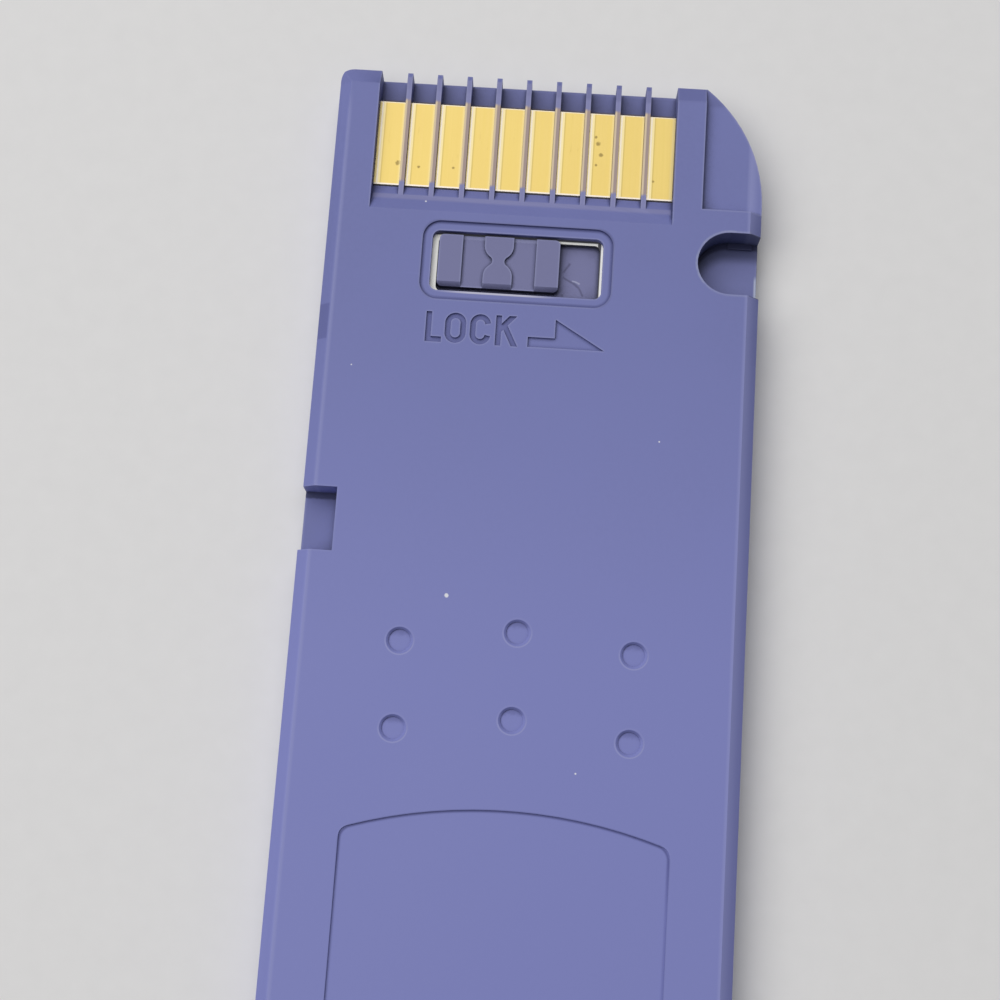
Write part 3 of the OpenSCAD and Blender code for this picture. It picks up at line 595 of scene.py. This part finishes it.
def rubbed_gold():
    """Gold plate with streaks and stains, painted highlights on its rims and ends, painted shade for a groove
    beside the left rim and at the front bend, and a painted reflection on the first plate.
    """
    gold, shader, place = new_finish("rubbed_gold", Metallic=1.0)
    at = parts(gold, place)
    streaks = noise(gold, place, 1, 4, 0.6, (5200, 130, 100))
    tone = over(gold, (0.49, 0.376, 0.121), (0.535, 0.41, 0.143), fade(gold, streaks, 0.2, 0.8))
    wear = fade(gold, noise(gold, place, 420, 4, 0.6), 0.35, 0.7)
    tone = over(gold, tone, (0.50, 0.375, 0.123), wear, 0.35)
    tone = over(gold, tone, (0.17, 0.125, 0.045), spots(gold, place, GOLD_STAINS), 0.75)
    soil = both(gold, fade(gold, noise(gold, place, 1, 4, 0.65, (7000, 900, 500)), 0.6, 0.72),
                fade(gold, noise(gold, place, 700, 2), 0.45, 0.65))
    tone = over(gold, tone, (0.30, 0.22, 0.07), soil, 0.3)
    # Painted reflection of the bay wall on the first plate.
    first_plate_reflection = both(gold, rise(gold, at["X"], -8.5, -8.46), rise(gold, at["X"], -8.42, -8.36, 1.0, 0.0))
    tone = over(gold, tone, (0.53, 0.33, 0.14), first_plate_reflection, 0.7)
    plates = sums(gold, "DIVIDE", sums(gold, "SUBTRACT", at["X"], FIRST_RIM * MM), PITCH * MM)
    across = both(gold, sums(gold, "FRACT", plates), PITCH * MM)
    # Painted shade of a groove beside each plate's left rim.
    tone = over(gold, tone, (0.26, 0.21, 0.08), near(gold, across, 0.215, 0.01, 0.05, 0.4))
    # Painted highlights along the rims and ends.
    rims = either(gold, rise(gold, across, 0.16, 0.2, 1.0, 0.0), rise(gold, across, 1.02, 1.16, 0.0, 0.6))
    tone = over(gold, tone, (0.555, 0.475, 0.26), rims)
    left_highlight = rise(gold, across, 0.04, 0.1, 1.0, 0.0)
    ends = either(gold, rise(gold, at["Y"], 19.06, 19.11, 1.0, 0.0), rise(gold, at["Y"], 23.4, 23.45, 0.0, 0.7))
    tone = over(gold, tone, (0.57, 0.52, 0.46), either(gold, left_highlight, ends))
    # Painted shade where the plates bend down at the front.
    tone = over(gold, tone, (0.16, 0.11, 0.06), rise(gold, at["Y"], 23.47, 23.53, 0.0, 0.8))
    drive(gold, shader, "Base Color", tone)
    drive(gold, shader, "Roughness", sums(gold, "ADD", 0.34, both(gold, streaks, 0.1)))
    bump = add(gold, "Bump", {"Height": streaks, "Strength": 0.12, "Distance": 0.004 * MM})
    drive(gold, shader, "Normal", bump.outputs["Normal"])
    return gold


gold = rubbed_gold()
for number in range(1, 11):
    node = f"contact_{number:02d}"
    plate = moulded_copy(node, f"gold_plate_{number:02d}")
    sides = [vert.co.x for vert in plate.data.vertices]
    west, east = min(sides), max(sides)
    for vert in plate.data.vertices:
        if vert.co.z > PLATE_TOP_Z:
            vert.co.x = west if vert.co.x < (west + east) / 2 else east
    dress(plate, gold)
    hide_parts(node)
    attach(plate, "card")
for node in ("switch_pad_open", "switch_pad_lock", "switch_pad_common"):
    dress(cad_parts[node], gold)

# White liner and tray of the switch.
# Plain white mouldings, trapped under the case wall. Only a thin strip of the liner shows round
# the slider; its walls and the bands in the shadow of the case wall and the grip are painted black as shade.


def white_plastic():
    """White plastic with painted shade: its upright walls and the bands under the case wall, beside the grip
    and at the liner's end are painted nearly black.
    """
    white, shader, place = new_finish("white_switch_plastic", Specular_IOR_Level=0.4)
    dust = fade(white, noise(white, place, 3000, 4, 0.6), 0.3, 0.7)
    tone = over(white, (0.93, 0.94, 0.90), (0.97, 0.97, 0.94), dust)
    # Painted shade: upright walls and bands in the shadow of the grip, the case wall and the liner's end.
    facing = parts(white, add(white, "NewGeometry").outputs["True Normal"])["Z"]
    upright = fade(white, sums(white, "ABSOLUTE", facing), 0.3, 0.8, 1.0, 0.0)
    at = parts(white, place)
    grip_shadow = both(white, rise(white, at["Y"], 16.15, 16.2), near(white, at["X"], -2.2, 2.8, 2.86))
    wall_shadow = rise(white, at["Y"], 16.38, 16.42)
    end_shade = both(white, rise(white, at["X"], 2.7, 2.75), rise(white, at["X"], 2.88, 2.91, 1.0, 0.0))
    tone = over(white, tone, (0.012, 0.013, 0.03), either(white, upright, grip_shadow, wall_shadow, end_shade), 0.95)
    drive(white, shader, "Base Color", tone)
    drive(white, shader, "Roughness", sums(white, "ADD", 0.4, both(white, dust, 0.15)))
    return white


white = white_plastic()
liner = moulded_copy("switch_liner", "white_liner")
soften(liner, 0.02 * MM, lambda p: p.z > 2.3 * MM)
dress(liner, white)
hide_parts("switch_liner")
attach(liner, "card")
dress(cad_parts["switch_tray"], white)

# Slider.
# One grey-violet moulding: a flat plate that runs under the case wall and a grip with three bars.
# Its open end is scratched, and the grip's fronts carry painted shade.
DARK_SCRATCHES = (((1.42, 15.42), (1.1, 14.9), 0.08), ((1.08, 14.68), (1.62, 14.4), 0.07),
                  ((1.6, 14.42), (1.92, 14.14), 0.08), ((1.9, 14.16), (2.12, 13.72), 0.075))
PALE_SCRATCH = ((1.55, 14.53), (1.95, 14.36), 0.05)


def scratch(material, place, start, end, width):
    """A fine straight scratch between two points of the face; 1 on it, 0 beside it."""
    a, b = Vector((*start, 0)) * MM, Vector((*end, 0)) * MM
    run = (b - a).normalized()
    side = Vector((-run.y, run.x, 0))
    along = vectors(material, "DOT_PRODUCT", place, run).outputs["Value"]
    along = sums(material, "SUBTRACT", along, a.dot(run) + (b - a).length / 2)
    beside = vectors(material, "DOT_PRODUCT", place, side).outputs["Value"]
    beside = sums(material, "SUBTRACT", beside, a.dot(side))
    waver = both(material, sums(material, "SUBTRACT", noise(material, place, 2200, 2), 0.5), 0.12 * MM)
    beside = sums(material, "ABSOLUTE", sums(material, "ADD", beside, waver))
    reach = (b - a).length
    inside = fade(material, sums(material, "ABSOLUTE", along), reach * 0.42, reach * 0.52, 1.0, 0.0)
    return both(material, rise(material, beside, width * 0.35, width, 1.0, 0.0), inside)


def scratched_end(grey, place, tone):
    """Dark scratches on the slider's plate, one of them with a pale burr."""
    dark = [scratch(grey, place, *line) for line in DARK_SCRATCHES]
    nick = spot(grey, place, 1.1, 13.72, 0.1)
    tone = over(grey, tone, (0.05, 0.05, 0.12), either(grey, nick, *dark), 0.5)
    pale = either(grey, scratch(grey, place, *PALE_SCRATCH), spot(grey, place, 1.9, 14.38, 0.06))
    return over(grey, tone, (0.42, 0.44, 0.62), pale, 0.7)


def shaded_grip_fronts(grey, place, tone):
    """Painted shade on the grip's faces that look away from the contacts, darkest at their foot."""
    lean = parts(grey, add(grey, "NewGeometry").outputs["Normal"])["Y"]
    foot = rise(grey, parts(grey, place)["Z"], 2.45, 2.85, 0.9, 0.3)
    return over(grey, tone, (0.015, 0.016, 0.04), fade(grey, lean, -0.95, -0.3, 1.0, 0.0), foot)


slider = moulded_copy("lock_slider", "lock_slide")
soften(slider, 0.06 * MM, lambda p: p.z > 2.2 * MM)
GREY, PALE_GREY = (0.174, 0.180, 0.356), (0.190, 0.197, 0.384)
grey, shader, place, tone = case_plastic("grey_slider_plastic", GREY, PALE_GREY, 0.85, grain=0.2)
tone = scratched_end(grey, place, tone)
tone = shaded_grip_fronts(grey, place, tone)
drive(grey, shader, "Base Color", tone)
dress(slider, grey)
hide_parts("lock_slider")
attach(slider, "lock_switch")

# Wiper.
# A bent strip of rolled spring metal, pressed on the pads by the slider's plate.
spring, shader, place = new_finish("spring_metal", Metallic=1.0)
roll = noise(spring, place, 1, 4, 0.6, (300, 9000, 3000))
drive(spring, shader, "Base Color", over(spring, (0.62, 0.58, 0.45), (0.75, 0.72, 0.6), roll))
drive(spring, shader, "Roughness", sums(spring, "ADD", 0.25, both(spring, roll, 0.2)))
dress(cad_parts["lock_wiper"], spring)

# Circuit board.
# Glass cloth in resin under green solder mask, held by the rims of both shells.
mask, shader, place = new_finish("green_solder_mask", Specular_IOR_Level=0.5)
weave = noise(mask, place, 2200, 3, 0.6, (1, 1, 0.2))
drive(mask, shader, "Base Color", over(mask, (0.015, 0.09, 0.04), (0.03, 0.14, 0.06), weave))
drive(mask, shader, "Roughness", sums(mask, "ADD", 0.3, both(mask, weave, 0.2)))
dress(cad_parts["circuit_board"], mask)

# Chips and small parts on the board.
# Black moulded bodies with tinned lead frames, tan and black ceramic parts and a metal can, all
# soldered flat on the board.


def speckled(name, dark, light, scale, metallic=0.0, rough=0.5):
    """A finish with fine flecks between two tones."""
    material, shader, place = new_finish(name, Metallic=metallic)
    fleck = noise(material, place, scale, 4, 0.65)
    drive(material, shader, "Base Color", over(material, dark, light, fade(material, fleck, 0.3, 0.7)))
    drive(material, shader, "Roughness", sums(material, "ADD", rough, both(material, fleck, 0.2)))
    return material


moulding = speckled("black_chip_moulding", (0.009, 0.009, 0.01), (0.02, 0.02, 0.022), 6000, rough=0.45)
tinned = speckled("tinned_leads", (0.5, 0.51, 0.53), (0.66, 0.67, 0.69), 4000, 1.0, 0.25)
tan = speckled("tan_ceramic", (0.28, 0.19, 0.10), (0.38, 0.27, 0.16), 5000)
coated = speckled("black_coating", (0.008, 0.008, 0.009), (0.018, 0.018, 0.02), 5000, rough=0.35)
can = speckled("plated_can", (0.55, 0.53, 0.46), (0.68, 0.66, 0.58), 2500, 1.0, 0.25)
BOARD_PARTS = ((moulding, ("memory_chip", "controller_chip")), (tinned, ("memory_leads", "controller_leads")),
               (tan, ("capacitor_1", "capacitor_2", "capacitor_3")), (coated, ("resistor_1", "resistor_2")),
               (can, ("resonator",)))
for material, names in BOARD_PARTS:
    for node in names:
        dress(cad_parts[node], material)

# Table and light.
# A plain pale table, one large soft box high over the contact end and a pale surround.
TABLE_HALF = 1.5
table_mesh = bpy.data.meshes.new("table")
bm = bmesh.new()
bmesh.ops.create_grid(bm, x_segments=2, y_segments=2, size=TABLE_HALF)
bm.to_mesh(table_mesh)
bm.free()
table = bpy.data.objects.new("table", table_mesh)
bpy.context.scene.collection.objects.link(table)
paint, shader, place = new_finish("table_paint", Roughness=0.75)
paper = noise(paint, place, 900, 3, 0.5)
drive(paint, shader, "Base Color", over(paint, (0.78, 0.78, 0.79), (0.82, 0.82, 0.83), paper))
dress(table, paint)

world = bpy.data.worlds.new("studio")
bpy.context.scene.world = world
world.use_nodes = True
world.node_tree.nodes["Background"].inputs["Color"].default_value = (0.94, 0.96, 1.0, 1)
world.node_tree.nodes["Background"].inputs["Strength"].default_value = 0.13

lamp = bpy.data.lights.new("soft_box", "AREA")
lamp.shape = "RECTANGLE"
lamp.size, lamp.size_y = 0.9, 0.6
lamp.energy = 3.5
lamp.color = (1.0, 0.985, 0.96)
soft_box = bpy.data.objects.new("soft_box", lamp)
soft_box.location = (-0.18, 0.13, 0.49)
soft_box.rotation_euler = (-soft_box.location).to_track_quat("-Z", "Y").to_euler()
bpy.context.scene.collection.objects.link(soft_box)

# Camera.
# Where the photograph was taken from, worked out from the card's outline.
camera_data = bpy.data.cameras.new("camera")
camera_data.sensor_width = 36
camera_data.lens = 61.2
camera_data.clip_start = 0.002
camera = bpy.data.objects.new("camera", camera_data)
camera.matrix_world = Matrix(((0.99770, -0.06385, 0.02294, 0.00062),
                              (0.06722, 0.97610, -0.20665, -0.01371),
                              (-0.00920, 0.20772, 0.97815, 0.08215),
                              (0, 0, 0, 1)))
bpy.context.scene.collection.objects.link(camera)
bpy.context.scene.camera = camera
bpy.context.scene.view_settings.view_transform = "Standard"
